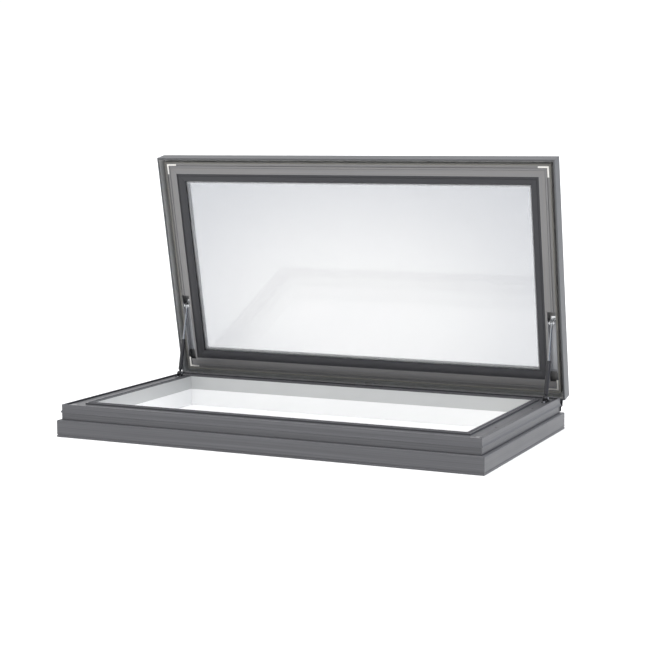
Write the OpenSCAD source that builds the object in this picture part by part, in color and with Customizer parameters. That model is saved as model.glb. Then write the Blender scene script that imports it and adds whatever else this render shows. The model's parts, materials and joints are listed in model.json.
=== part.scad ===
// Hinged roof-access skylight: an insulated aluminium kerb, and a double-glazed lid that
// swings up on three hinges at the rear and is steadied by a telescopic stay on each side.
// Millimetres. X runs along the hinge, Y from the front to the rear, Z up.
// The origin is the centre of the opening, on the plane where the kerb bears on the roof.
// Profiles are drawn as (u, z): u is the distance inwards from the outer face of the fascia.

/* [Overall] */
// Width of the kerb over its fascia, along the hinge
outer_w = 2000; // [1400:10:2600]
// Depth of the kerb over its fascia, front to rear
outer_d = 1116; // [900:2:1500]
// Width of the kerb frame, from the fascia's face to the clear opening
rail_w = 118; // [110:1:150]
// Angle that the lid stands open
open_angle = 78.44; // [40:0.01:85]
// Wall thickness of the aluminium profiles
wall = 3; // [2.5:0.5:4]

/* [Kerb] */
// Height of the kerb above its bearing plane
kerb_h = 87; // [75:1:120]
// How far the kerb's outer wall stands behind the fascia's face
ledge = 17; // [14:1:30]
// Depth of the channel sunk in the top of the kerb
channel_depth = 8; // [6:1:12]
// Width of the raised lip outside the channel
lip_w = 6; // [5:1:8]
// Width of the flat land inside the channel, which carries the gasket
land_w = 26; // [22:1:34]
// Thickness of the white lining board
lining_t = 6; // [4:1:12]
// Height of the seam between the lining board and the white trim below it
trim_top = 21; // [10:1:40]
// Height of the drip nose's underside above the bearing plane
drip_z = 50; // [44:1:54]
// Height of the drip nose, which slopes out from the wall
drip_h = 12; // [8:1:14]
// How far the drip nose stands out from the kerb's wall
drip_out = 5; // [3:1:10]
// Height of the gasket on the land
gasket_h = 4.5; // [3.5:0.1:4.6]

/* [Fascia] */
// Height of the fascia's ledge above the bearing plane
fascia_top = 18; // [12:1:30]
// How far the fascia laps down over the roof upstand
fascia_lap = 58; // [40:1:120]
// Width of the return at the fascia's foot
fascia_foot = 12; // [8:1:14]
// Height of the thin shadow groove above the fascia's foot
groove_rise = 9; // [5:1:20]
// Rounding of the fascia's top edge
fascia_r = 5; // [1:0.5:6]

/* [Lid] */
// Height of the lid's outer skirt
lid_h = 72; // [68:1:100]
// How far the skirt laps down past the top of the kerb
lid_lap = 24; // [18:1:30]
// Width of the return at the skirt's lower edge
skirt_lip = 8; // [6:1:9]
// Distance of the ribbed carrier from the skirt's face
carrier_u = 25; // [25:1:34]
// Clearance between the ribbed carrier and the inner wall of the kerb's channel
carrier_gap = 8; // [3:0.5:9]
// How far the glazing ledge that carries the panes reaches into the clear opening
sight_over = 6; // [2:1:12]
// Visible gap between the skirt and the outer pane, filled with silicone
joint_w = 4; // [3:1:8]

/* [Glass] */
// Thickness of the outer pane
outer_pane_t = 6; // [4:1:8]
// Gap between the panes
cavity = 16; // [12:1:18]
// Thickness of the laminated inner pane
inner_pane_t = 7; // [6:1:9]
// How far the inner pane rests on the glazing ledge
glass_bite = 12; // [8:1:16]
// Width of the spacer bar between the panes
spacer_w = 11; // [8:1:14]
// How far the spacer bar shows past the glazing ledge
spacer_over = 9; // [4:1:10]

/* [Hinges] */
// Length of each hinge
hinge_len = 110; // [80:5:200]
// Distance of the end hinges from the ends of the kerb
hinge_end = 12; // [8:1:300]
// Outer radius of the hinge knuckles
hinge_r = 6.5; // [6:0.1:6.5]
// Radius of the hinge pins
pin_r = 3.5; // [2.5:0.1:4]
// Thickness of the hinge leaves
leaf_t = 3; // [2:0.5:3]

/* [Stays] */
// Distance of the stays from the fascia's face
stay_u = 55; // [53:1:60]
// Distance of the stay's kerb pivot from the rear face
stay_kerb_back = 118; // [100:1:160]
// Distance of the stay's lid pivot from the rear face
stay_lid_back = 358; // [340:1:420]
// Outer radius of the stay's tube
tube_r = 10; // [9:0.5:10.5]
// Radius of the stay's rod
rod_r = 5; // [4:0.5:6]
// Radius of the pivot pins at the kerb
stay_pin_r = 4; // [3:0.5:4.5]
// Thickness of the channels that line the stays' pockets in the lid
liner_t = 2; // [1:0.5:3]

/* [Fixings] */
// Radius of the fixing holes through the kerb
fix_r = 4.5; // [3:0.5:6]
// Distance of the end fixings from the ends of the long rails
fix_end = 200; // [150:10:300]
// Distance of the side fixings from the middle of the short rails
fix_side = 250; // [150:10:300]

/* [Hidden] */
$fn = 48;
run_gap = 0.05;      // radial clearance of a pin in its bore
part_gap = 0.5;      // clearance between pieces that move past each other
edge_r = 2;          // rounding of the outer edges
groove_deep = 1.8;   // the shadow groove near the fascia's foot
groove_h = 3.2;
drip_face = 3;       // upright face at the foot of the drip nose

// Levels of the kerb and the lid when shut
floor_z = kerb_h - channel_depth;
skirt_z = kerb_h - lid_lap;
lid_top = skirt_z + lid_h;
rib_z = kerb_h;      // the carrier comes down level with the top of the kerb
bead_z = kerb_h + 5;
pane_inset = 1;      // the outer pane lies this far below the skirt's top edge
outer_pane_z = lid_top - pane_inset - outer_pane_t;
tape_t = 1;
shelf_z = outer_pane_z - tape_t - wall;
inner_pane_z = outer_pane_z - cavity - inner_pane_t;

// Channel in the top of the kerb, and what of the lid closes over it
channel_u0 = ledge + lip_w;
channel_u1 = rail_w - land_w;
bead_u = channel_u1 - carrier_gap;
sight_u = rail_w + sight_over;
spacer_u = sight_u + spacer_over - spacer_w;
pane_u = sight_u - glass_bite;
fix_u = (channel_u0 + channel_u1) / 2;
lining_u = rail_w - lining_t;
trim_gap = 0.2;      // open joint between the trim's strips at the corners
fix_long = [for (k = [-3, -1, 1, 3]) k / 3 * (outer_w / 2 - fix_end)];
fix_short = [-fix_side, fix_side];

// Hinges
hinge_y = outer_d / 2 + hinge_r + part_gap;
hinge_z = skirt_z + 2.5;
hinge_span = outer_w / 2 - hinge_end - hinge_len / 2;
knuckles = 5;
knuckle_gap = 0.4;
knuckle_len = (hinge_len - (knuckles - 1) * knuckle_gap) / knuckles;
kerb_leaf_z0 = fascia_top + 6;
kerb_leaf_z1 = drip_z - 3;
kerb_face_y = outer_d / 2 - ledge;
lid_leaf_z0 = hinge_z + hinge_r + part_gap;
lid_leaf_h = 40;
kerb_screw_z = (kerb_leaf_z0 + kerb_leaf_z1 - leaf_t) / 2;
lid_screw_z = lid_leaf_z0 + lid_leaf_h / 2;
leaf_screw_pitch = 40;
screw_r = 2.5;
screw_gap = 0.1;
screw_len = 13;
head_r = 5;
head_h = 2.6;

// Stays: pivots as [y, z], the lid's one both shut and open
stay_x = outer_w / 2 - stay_u;
kerb_pivot = [outer_d / 2 - stay_kerb_back, floor_z + 17];
lid_pivot_shut = [outer_d / 2 - stay_lid_back, kerb_h + 7];
lid_pivot = swing(lid_pivot_shut);
stay_shut = norm(lid_pivot_shut - kerb_pivot);
stay_open = norm(lid_pivot - kerb_pivot);
stay_tilt = atan2(lid_pivot[1] - kerb_pivot[1], lid_pivot[0] - kerb_pivot[0]);
eye_r = 9;
eye_w = 14;
ear_gap = eye_w + 2;
ear_t = 3;
ear_r = 10;
tube_len = stay_shut - 70;
tube_foot = 18;
bore_r = tube_r - 1.5;
guide_len = 12;
piston_h = 8;
piston_at = tube_len - guide_len - 4 - piston_h;
pocket_half = ear_gap / 2 + ear_t + 8;
pocket_roof = shelf_z - 2 * wall;
pocket_ahead = 52;   // room for the rod's eye in front of the lid pivot
pocket_behind = 40;  // room for the kerb bracket behind the kerb pivot
liner_end_z = kerb_pivot[1] + ear_r + 2;
plate_half = 30;
lid_plate = 50;      // length of the lid bracket's base
plate_screw = 22;

// ---- Placing ----

// Where a point [y, z] of the shut lid is when the lid stands open
function swing(p) = [
    hinge_y + (p[0] - hinge_y) * cos(open_angle) + (p[1] - hinge_z) * sin(open_angle),
    hinge_z - (p[0] - hinge_y) * sin(open_angle) + (p[1] - hinge_z) * cos(open_angle)
];

// Turns what is drawn for the shut lid to where it stands open
module opened() {
    translate([0, hinge_y, hinge_z]) rotate([-open_angle, 0, 0])
        translate([0, -hinge_y, -hinge_z]) children();
}

// Side 0 is the front, 1 the right, 2 the rear, 3 the left: X runs along the side, Y inwards
module on_side(side) {
    off = side % 2 == 0 ? outer_d / 2 : outer_w / 2;
    rotate([0, 0, 90 * side]) translate([0, -off, 0]) children();
}

// A (u, z) profile run along one side, with its ends mitred
module rail(side, deep) {
    len = side % 2 == 0 ? outer_w : outer_d;
    on_side(side) intersection() {
        rotate([90, 0, 90]) linear_extrude(height = len, center = true) children();
        translate([0, 0, -2 * fascia_lap]) linear_extrude(height = 4 * (fascia_lap + lid_top))
            polygon([[-len / 2, 0], [len / 2, 0], [len / 2 - deep, deep], [deep - len / 2, deep]]);
    }
}

// A flat ring between two distances from the outer face
module ring(u0, u1, z0, z1) {
    translate([0, 0, z0]) linear_extrude(height = z1 - z0) difference() {
        square([outer_w - 2 * u0, outer_d - 2 * u0], center = true);
        square([outer_w - 2 * u1, outer_d - 2 * u1], center = true);
    }
}

// A rectangle between two corners
module box2(a, b) translate(a) square(b - a);

// Waste at a square corner of a profile that is rounded to radius r
module corner_waste(corner, r, turn) {
    translate(corner) rotate(turn) difference() {
        translate([-1, -1]) square(r + 1);
        translate([r, r]) circle(r);
    }
}

// A cylinder along X, centred on x
module rod_x(x, r, len) translate([x, 0, 0]) rotate([0, 90, 0]) cylinder(h = len, r = r, center = true);

// ---- Kerb ----

module fascia_profile() {
    difference() {
        union() {
            box2([0, -fascia_lap], [wall, fascia_top]);
            box2([0, -fascia_lap], [fascia_foot, wall - fascia_lap]);
            box2([0, fascia_top - wall], [ledge, fascia_top]);
            box2([ledge - wall, wall], [ledge, fascia_top]);
        }
        corner_waste([0, fascia_top], fascia_r, 270);
        corner_waste([0, -fascia_lap], 1, 0);
        box2([-1, groove_rise - fascia_lap], [groove_deep, groove_rise + groove_h - fascia_lap]);
    }
}

module fascia(side) color("#707073") rail(side, ledge) fascia_profile();

module fascia_front() fascia(0);
module fascia_right() fascia(1);
module fascia_rear() fascia(2);
module fascia_left() fascia(3);

module kerb_profile() {
    difference() {
        union() {
            box2([ledge, 0], [ledge + wall, kerb_h]);
            box2([ledge, kerb_h - wall - 2], [channel_u0, kerb_h]);
            box2([ledge, floor_z - wall], [channel_u1 + wall, floor_z]);
            box2([channel_u1, floor_z - wall], [channel_u1 + wall, kerb_h]);
            box2([channel_u1, kerb_h - wall], [rail_w, kerb_h]);
            box2([ledge, 0], [lining_u, wall]);
            polygon([[ledge, drip_z + drip_h], [ledge - drip_out, drip_z + drip_face],
                     [ledge - drip_out, drip_z], [ledge, drip_z]]);
        }
        corner_waste([ledge, kerb_h], edge_r, 270);
        corner_waste([channel_u0, kerb_h], edge_r, 180);
        corner_waste([rail_w, kerb_h], 1, 180);
    }
}

// Fixing holes of one side, down through the kerb
module fixings(side, r) {
    on_side(side) for (x = side % 2 == 0 ? fix_long : fix_short)
        translate([x, fix_u, -1]) cylinder(h = kerb_h, r = r);
}

module kerb_rail(side) {
    color("#6a6a6d") difference() {
        rail(side, rail_w) kerb_profile();
        fixings(side, fix_r);
        if (side == 2) kerb_leaf_screws(screw_r + screw_gap);
        if (side % 2 == 1) bracket_screws(screw_r + screw_gap);
    }
}

module kerb_front() kerb_rail(0);
module kerb_right() kerb_rail(1);
module kerb_rear() kerb_rail(2);
module kerb_left() kerb_rail(3);

module insulation(side) {
    color("#d8cfa8") difference() {
        rail(side, rail_w) box2([ledge + wall, wall], [lining_u, floor_z - wall]);
        fixings(side, fix_r + 1.5);
        if (side != 0) kerb_leaf_screws(screw_r + screw_gap);
        if (side % 2 == 1) bracket_screws(screw_r + screw_gap);
    }
}

module insulation_front() insulation(0);
module insulation_right() insulation(1);
module insulation_rear() insulation(2);
module insulation_left() insulation(3);

module lining(side) {
    color("#d8d8d6") rail(side, rail_w) box2([lining_u, trim_top], [rail_w, kerb_h - wall]);
}

module lining_front() lining(0);
module lining_right() lining(1);
module lining_rear() lining(2);
module lining_left() lining(3);

// White strips below the lining board, down to the level of the fascia's foot
module lining_trim() {
    color("#fbfbfa") for (side = [0:3]) {
        len = side % 2 == 0 ? outer_w - 2 * lining_u : outer_d - 2 * rail_w - 2 * trim_gap;
        on_side(side) translate([-len / 2, lining_u, -fascia_lap])
            cube([len, lining_t, fascia_lap + trim_top]);
    }
}

// The same piece at each of the four corners, drawn for the corner at +X +Y
module at_corners() {
    for (mx = [0, 1], my = [0, 1]) mirror([mx, 0, 0]) mirror([0, my, 0])
        translate([outer_w / 2, outer_d / 2, 0]) children();
}

// An L in plan, its outer edges u in from the faces
module angle_plate(u, leg, width, z0, z1) {
    translate([0, 0, z0]) linear_extrude(height = z1 - z0) {
        translate([-u - leg, -u - width]) square([leg, width]);
        translate([-u - width, -u - leg]) square([width, leg]);
    }
}

module kerb_corner_cleats() {
    color("#9a9a9c") at_corners()
        angle_plate(channel_u0 + 16, 40, 22, floor_z, floor_z + wall);
}

module gasket_profile() {
    mid = rail_w - land_w / 2;
    box2([mid - 6, kerb_h], [mid + 6, kerb_h + gasket_h - 3]);
    translate([mid, kerb_h + gasket_h - 3]) circle(3);
}

module rim_gasket() {
    color("#26262a") for (side = [0:3]) rail(side, rail_w) intersection() {
        gasket_profile();
        box2([0, kerb_h], [rail_w, kerb_h + gasket_h]);
    }
}

// ---- Hinges ----

module knuckle(x, k, r) {
    translate([0, hinge_y, hinge_z])
        rod_x(x - hinge_len / 2 + knuckle_len / 2 + k * (knuckle_len + knuckle_gap), r, knuckle_len);
}

// A tab under or over a knuckle, from the leaf to the pin's centre line
module knuckle_tab(x, k, y, z0, z1) {
    translate([x - hinge_len / 2 + k * (knuckle_len + knuckle_gap), y, z0])
        cube([knuckle_len, leaf_t, z1 - z0]);
}

module hinge_bore(x) translate([0, hinge_y, hinge_z]) rod_x(x, pin_r + run_gap, hinge_len + 2);

// Three screws along a leaf, with their heads at y, pointing towards -Y
module leaf_screws(x, y, z, r) {
    for (k = [-1:1]) translate([x + k * leaf_screw_pitch, y, z])
        rotate([90, 0, 0]) cylinder(h = screw_len, r = r);
}

module leaf_heads(x, y, z) {
    for (k = [-1:1]) translate([x + k * leaf_screw_pitch, y, z])
        rotate([-90, 0, 0]) cylinder(h = head_h, r = head_r);
}

module kerb_leaf_screws(r) {
    for (k = [-1:1]) leaf_screws(k * hinge_span, kerb_face_y + leaf_t, kerb_screw_z, r);
}

module lid_leaf_screws(r) {
    for (k = [-1:1]) leaf_screws(k * hinge_span, outer_d / 2 + leaf_t, lid_screw_z, r);
}

module hinge_kerb_leaf(x) {
    color("#2b2b2d") difference() {
        union() {
            translate([x - hinge_len / 2, kerb_face_y, kerb_leaf_z0])
                cube([hinge_len, leaf_t, kerb_leaf_z1 - kerb_leaf_z0]);
            translate([x - hinge_len / 2, kerb_face_y, kerb_leaf_z1 - leaf_t])
                cube([hinge_len, hinge_y + leaf_t / 2 - kerb_face_y, leaf_t]);
            translate([x - hinge_len / 2, hinge_y - leaf_t / 2, kerb_leaf_z1 - leaf_t])
                cube([hinge_len, leaf_t, hinge_z - hinge_r - part_gap - kerb_leaf_z1 + leaf_t]);
            for (k = [0:2:knuckles - 1]) {
                knuckle(x, k, hinge_r);
                knuckle_tab(x, k, hinge_y - leaf_t / 2, hinge_z - hinge_r - 1, hinge_z);
            }
        }
        hinge_bore(x);
        kerb_leaf_screws(screw_r + screw_gap);
    }
}

module hinge_kerb_leaf_left() hinge_kerb_leaf(-hinge_span);
module hinge_kerb_leaf_middle() hinge_kerb_leaf(0);
module hinge_kerb_leaf_right() hinge_kerb_leaf(hinge_span);

module hinge_lid_leaf(x) {
    color("#2b2b2d") opened() difference() {
        union() {
            translate([x - hinge_len / 2, outer_d / 2, lid_leaf_z0]) cube([hinge_len, leaf_t, lid_leaf_h]);
            for (k = [1:2:knuckles - 1]) {
                knuckle(x, k, hinge_r);
                knuckle_tab(x, k, outer_d / 2, hinge_z, lid_leaf_z0 + 1);
            }
        }
        hinge_bore(x);
        lid_leaf_screws(screw_r + screw_gap);
    }
}

module hinge_lid_leaf_left() hinge_lid_leaf(-hinge_span);
module hinge_lid_leaf_middle() hinge_lid_leaf(0);
module hinge_lid_leaf_right() hinge_lid_leaf(hinge_span);

module hinge_pins() {
    color("#b9bbbe") for (k = [-1:1]) translate([0, hinge_y, hinge_z]) {
        rod_x(k * hinge_span, pin_r, hinge_len + 3);
        for (end = [-1, 1]) rod_x(k * hinge_span + end * (hinge_len / 2 + 1.2), pin_r + 1.5, 1.6);
    }
}

module hinge_kerb_screws() {
    color("#8f9194") {
        kerb_leaf_screws(screw_r);
        for (k = [-1:1]) leaf_heads(k * hinge_span, kerb_face_y + leaf_t, kerb_screw_z);
    }
}

module hinge_lid_screws() {
    color("#8f9194") opened() {
        lid_leaf_screws(screw_r);
        for (k = [-1:1]) leaf_heads(k * hinge_span, outer_d / 2 + leaf_t, lid_screw_z);
    }
}

// ---- Stays ----

// Side plates of a bracket: a round ear on the pivot, joined straight down or up to its base
module ears(x, pivot, base_z, bore) {
    for (end = [-1, 1]) translate([x + end * (ear_gap + ear_t) / 2, pivot[0], 0]) difference() {
        union() {
            translate([0, 0, pivot[1]]) rod_x(0, ear_r, ear_t);
            translate([-ear_t / 2, -ear_r, min(base_z, pivot[1])])
                cube([ear_t, 2 * ear_r, abs(base_z - pivot[1])]);
        }
        translate([0, 0, pivot[1]]) rod_x(0, bore, ear_t + 2);
    }
}

module bracket_screws(r) {
    for (end = [-1, 1], k = [-1, 1])
        translate([end * stay_x, kerb_pivot[0] + k * plate_screw, floor_z + ear_t - screw_len])
            cylinder(h = screw_len, r = r);
}

module stay_kerb_bracket(x) {
    color("#3a3a3c") difference() {
        union() {
            translate([x - ear_gap / 2 - ear_t, kerb_pivot[0] - plate_half, floor_z])
                cube([ear_gap + 2 * ear_t, 2 * plate_half, ear_t]);
            ears(x, kerb_pivot, floor_z + ear_t, stay_pin_r + run_gap);
        }
        bracket_screws(screw_r + screw_gap);
    }
}

module stay_kerb_bracket_left() stay_kerb_bracket(-stay_x);
module stay_kerb_bracket_right() stay_kerb_bracket(stay_x);

module stay_kerb_pins() {
    color("#c9cbce") for (end = [-1, 1]) translate([0, kerb_pivot[0], kerb_pivot[1]]) {
        rod_x(end * stay_x, stay_pin_r, ear_gap + 2 * ear_t + 2);
        for (tip = [-1, 1])
            rod_x(end * stay_x + tip * (ear_gap / 2 + ear_t + 1.2), stay_pin_r + 2, 2);
    }
}

module stay_kerb_screws() {
    color("#8f9194") {
        bracket_screws(screw_r);
        for (end = [-1, 1], k = [-1, 1])
            translate([end * stay_x, kerb_pivot[0] + k * plate_screw, floor_z + ear_t])
                cylinder(h = head_h, r = head_r);
    }
}

// Draws along +Y from the kerb pivot, then turns to the stay's open slope
module stay_frame(x) translate([x, kerb_pivot[0], kerb_pivot[1]]) rotate([stay_tilt, 0, 0]) children();

module along(y0, y1, r) translate([0, y0, 0]) rotate([-90, 0, 0]) cylinder(h = y1 - y0, r = r);

module stay_tube(x) {
    color("#303033") stay_frame(x) difference() {
        union() {
            rod_x(0, eye_r, eye_w);
            along(eye_r - 3, tube_foot, tube_r - 4);
            along(tube_foot, tube_len, tube_r);
        }
        rod_x(0, stay_pin_r + run_gap, eye_w + 2);
        along(tube_foot + 6, tube_len - guide_len, bore_r);
        along(tube_len - guide_len - 1, tube_len + 1, rod_r + run_gap);
    }
}

module stay_tube_left() stay_tube(-stay_x);
module stay_tube_right() stay_tube(stay_x);

module stay_rod(x) {
    color("#d4d6d9") stay_frame(x) difference() {
        union() {
            along(piston_at, stay_open - eye_r + 2, rod_r);
            along(piston_at, piston_at + piston_h, bore_r - 2 * run_gap);
            along(stay_open - eye_r - 9, stay_open - eye_r + 2, rod_r + 2);
            translate([0, stay_open, 0]) rod_x(0, eye_r, eye_w - 2);
        }
        translate([0, stay_open, 0]) rod_x(0, stay_pin_r + run_gap, eye_w + 2);
    }
}

module stay_rod_left() stay_rod(-stay_x);
module stay_rod_right() stay_rod(stay_x);

module stay_lid_bracket(x) {
    color("#c4c6c9") opened() {
        translate([x - ear_gap / 2 - ear_t, lid_pivot_shut[0] - lid_plate / 2, pocket_roof])
            cube([ear_gap + 2 * ear_t, lid_plate, wall]);
        ears(x, lid_pivot_shut, pocket_roof, stay_pin_r + run_gap);
    }
}

module stay_lid_bracket_left() stay_lid_bracket(-stay_x);
module stay_lid_bracket_right() stay_lid_bracket(stay_x);

// A short bolt through each ear; its tip ends flush inside, clear of the rod's eye
module stay_lid_bolts() {
    color("#e4e5e6") opened() for (end = [-1, 1], tip = [-1, 1])
        translate([end * stay_x, lid_pivot_shut[0], lid_pivot_shut[1]]) {
            rod_x(tip * (ear_gap + ear_t) / 2, stay_pin_r, ear_t);
            rod_x(tip * (ear_gap / 2 + ear_t + 2), stay_pin_r + 3, 4);
        }
}

// Channels in the stays' pockets: a flange along each side, a back and an end plate
module stay_channels() {
    front = lid_pivot_shut[0] - ear_r;
    rear = kerb_pivot[0] - stay_pin_r;
    back = lid_pivot_shut[0] + ear_r + 2;
    color("#e4e5e6") opened() for (end = [-1, 1]) translate([end * stay_x, 0, 0]) {
        for (edge = [-pocket_half, pocket_half - liner_t]) translate([edge, front, rib_z + 1])
            cube([liner_t, rear - front, pocket_roof - rib_z - 1]);
        translate([-pocket_half, back, pocket_roof - liner_t])
            cube([2 * pocket_half, rear - back, liner_t]);
        translate([-pocket_half, rear - liner_t, liner_end_z])
            cube([2 * pocket_half, liner_t, pocket_roof - liner_end_z]);
    }
}

// ---- Lid ----

module skirt_profile() {
    difference() {
        union() {
            box2([0, skirt_z], [wall, lid_top]);
            box2([0, skirt_z], [skirt_lip, skirt_z + wall]);
            box2([0, shelf_z], [bead_u, shelf_z + wall]);
        }
        corner_waste([0, lid_top], edge_r, 270);
        corner_waste([0, skirt_z], 1, 0);
    }
}

module lid_skirt(side) {
    color("#6f6f72") opened() difference() {
        rail(side, bead_u) skirt_profile();
        if (side == 2) lid_leaf_screws(screw_r + screw_gap);
    }
}

module lid_skirt_front() lid_skirt(0);
module lid_skirt_right() lid_skirt(1);
module lid_skirt_rear() lid_skirt(2);
module lid_skirt_left() lid_skirt(3);

// Ribbed hollow profile: brush rib, key groove, fine rib, slot and flat band, from outside in
module carrier_profile() {
    brush_w = 10;
    groove_w = 10;
    rib_w = 4;
    slot_w = 6;
    difference() {
        box2([carrier_u, rib_z], [bead_u, shelf_z]);
        box2([carrier_u + brush_w, rib_z - 1], [carrier_u + brush_w + groove_w, rib_z + 5]);
        box2([carrier_u + brush_w + groove_w + rib_w, rib_z - 1],
             [carrier_u + brush_w + groove_w + rib_w + slot_w, rib_z + 3]);
        box2([carrier_u + brush_w + groove_w + rib_w + slot_w, rib_z - 1], [bead_u + 1, rib_z + 1]);
        box2([carrier_u + wall, rib_z + 5 + wall], [bead_u - wall, shelf_z - wall]);
    }
}

// The room that the stay needs in the carrier, shut and on its way
module stay_pocket(x) {
    front = lid_pivot_shut[0] - pocket_ahead;
    translate([x - pocket_half, front, rib_z - 1])
        cube([2 * pocket_half, kerb_pivot[0] + pocket_behind - front, pocket_roof - rib_z + 1]);
}

module lid_carrier(side) {
    color("#8d8c8a") opened() difference() {
        rail(side, bead_u) carrier_profile();
        if (side == 1) stay_pocket(stay_x);
        if (side == 3) stay_pocket(-stay_x);
    }
}

module lid_carrier_front() lid_carrier(0);
module lid_carrier_right() lid_carrier(1);
module lid_carrier_rear() lid_carrier(2);
module lid_carrier_left() lid_carrier(3);

// Glazing ledge: a web on the carrier, a stepped underside and a seat for the inner pane
module bead_profile() {
    step = 2;
    third = (pane_u - bead_u) / 2 - step;
    polygon([
        [bead_u, bead_z + step], [bead_u + third, bead_z + step],
        [bead_u + third, bead_z], [pane_u, bead_z],
        [sight_u, bead_z + 5], [sight_u, inner_pane_z], [pane_u, inner_pane_z],
        [pane_u, bead_z + 6], [bead_u + wall, bead_z + 6], [bead_u + wall, shelf_z], [bead_u, shelf_z]
    ]);
}

module lid_bead(side) color("#4a4a4e") opened() rail(side, sight_u) bead_profile();

module lid_bead_front() lid_bead(0);
module lid_bead_right() lid_bead(1);
module lid_bead_rear() lid_bead(2);
module lid_bead_left() lid_bead(3);

module lid_corner_keys() {
    color("#e2e2de") opened() at_corners() angle_plate(carrier_u + 11, 50, 8, rib_z + 2, rib_z + 5);
}

module brush_seal() color("#b5b09e") opened() ring(carrier_u + 1, carrier_u + 7, rib_z - 3, rib_z);

module weather_seal() {
    color("#232326") opened() {
        ring(wall, wall + joint_w, outer_pane_z - tape_t, lid_top - pane_inset);
        ring(wall, carrier_u, outer_pane_z - tape_t, outer_pane_z);
    }
}

// Packers between the ledge's web and the edge of the inner pane
module setting_blocks() {
    u0 = bead_u + wall;
    color("#3f5a78") opened() for (side = [0:3], k = [-1, 1])
        on_side(side) translate([k * (side % 2 == 0 ? outer_w : outer_d) / 4 - 30, u0, bead_z + 6])
            cube([60, pane_u - u0, inner_pane_z + inner_pane_t - bead_z - 6]);
}

module pane(u, z, t) {
    translate([u - outer_w / 2, u - outer_d / 2, z]) cube([outer_w - 2 * u, outer_d - 2 * u, t]);
}

module outer_pane() color("#dfe8ea", 0.3) opened() pane(wall + joint_w, outer_pane_z, outer_pane_t);

module inner_pane() color("#dfe8ea", 0.3) opened() pane(pane_u, inner_pane_z, inner_pane_t);

module spacer_bar() {
    color("#e6e7e8") opened()
        ring(spacer_u, spacer_u + spacer_w, inner_pane_z + inner_pane_t, outer_pane_z);
}

module edge_seal() {
    color("#1f1f22") opened() ring(pane_u, spacer_u, inner_pane_z + inner_pane_t, outer_pane_z);
}

fascia_front();
fascia_right();
fascia_rear();
fascia_left();
kerb_front();
kerb_right();
kerb_rear();
kerb_left();
insulation_front();
insulation_right();
insulation_rear();
insulation_left();
lining_front();
lining_right();
lining_rear();
lining_left();
lining_trim();
kerb_corner_cleats();
rim_gasket();
hinge_kerb_leaf_left();
hinge_kerb_leaf_middle();
hinge_kerb_leaf_right();
hinge_pins();
hinge_kerb_screws();
stay_kerb_bracket_left();
stay_kerb_bracket_right();
stay_kerb_pins();
stay_kerb_screws();
stay_tube_left();
stay_tube_right();
stay_rod_left();
stay_rod_right();
lid_skirt_front();
lid_skirt_right();
lid_skirt_rear();
lid_skirt_left();
lid_carrier_front();
lid_carrier_right();
lid_carrier_rear();
lid_carrier_left();
lid_bead_front();
lid_bead_right();
lid_bead_rear();
lid_bead_left();
lid_corner_keys();
brush_seal();
weather_seal();
setting_blocks();
outer_pane();
inner_pane();
spacer_bar();
edge_seal();
hinge_lid_leaf_left();
hinge_lid_leaf_middle();
hinge_lid_leaf_right();
hinge_lid_screws();
stay_lid_bracket_left();
stay_lid_bracket_right();
stay_lid_bolts();
stay_channels();
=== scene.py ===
# Roof-access skylight: an aluminium kerb and a hinged double-glazed lid, standing open on two stays
import json
import math
import random

import bmesh
import bpy
from mathutils import Matrix, Vector


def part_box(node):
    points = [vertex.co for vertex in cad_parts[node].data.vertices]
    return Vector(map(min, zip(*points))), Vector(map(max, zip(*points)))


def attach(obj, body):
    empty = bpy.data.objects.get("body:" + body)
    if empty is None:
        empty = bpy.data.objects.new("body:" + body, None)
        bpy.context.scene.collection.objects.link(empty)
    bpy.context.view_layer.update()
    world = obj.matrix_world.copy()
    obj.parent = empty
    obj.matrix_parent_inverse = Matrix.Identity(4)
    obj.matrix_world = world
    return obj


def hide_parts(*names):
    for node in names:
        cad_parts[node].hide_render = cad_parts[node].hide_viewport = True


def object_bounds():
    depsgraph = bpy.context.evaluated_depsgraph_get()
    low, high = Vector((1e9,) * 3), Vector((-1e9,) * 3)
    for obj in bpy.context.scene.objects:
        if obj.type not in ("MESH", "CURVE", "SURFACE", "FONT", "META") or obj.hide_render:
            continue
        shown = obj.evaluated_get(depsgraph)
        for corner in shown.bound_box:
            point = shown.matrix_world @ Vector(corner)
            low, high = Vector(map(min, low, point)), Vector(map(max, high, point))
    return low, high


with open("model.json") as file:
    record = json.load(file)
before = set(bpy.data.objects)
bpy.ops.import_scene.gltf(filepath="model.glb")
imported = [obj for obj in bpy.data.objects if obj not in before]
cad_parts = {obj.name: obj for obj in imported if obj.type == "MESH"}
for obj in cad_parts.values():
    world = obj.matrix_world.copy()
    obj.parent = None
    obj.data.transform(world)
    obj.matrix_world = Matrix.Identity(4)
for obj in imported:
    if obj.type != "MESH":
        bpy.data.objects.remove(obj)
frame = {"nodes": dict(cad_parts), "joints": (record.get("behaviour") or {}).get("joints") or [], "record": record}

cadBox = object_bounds()
mm = 0.001
cadWeld = 0.001 * mm    # CAD meshes are loose triangles: corners this close are one
shapeWeld = 0.01 * mm   # and the same for the shapes drawn here
random.seed(7)

view = {
    "place": (2.9683, -6.3166, 1.2501),
    "turn": (83.299, 0.088, 24.742),  # degrees: tilt, roll, heading
    "lens": 87.1,            # focal length and sensor width in mm
    "sensor": 36.0,
    "reach": 500.0,          # how far the camera sees, in metres
}

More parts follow.
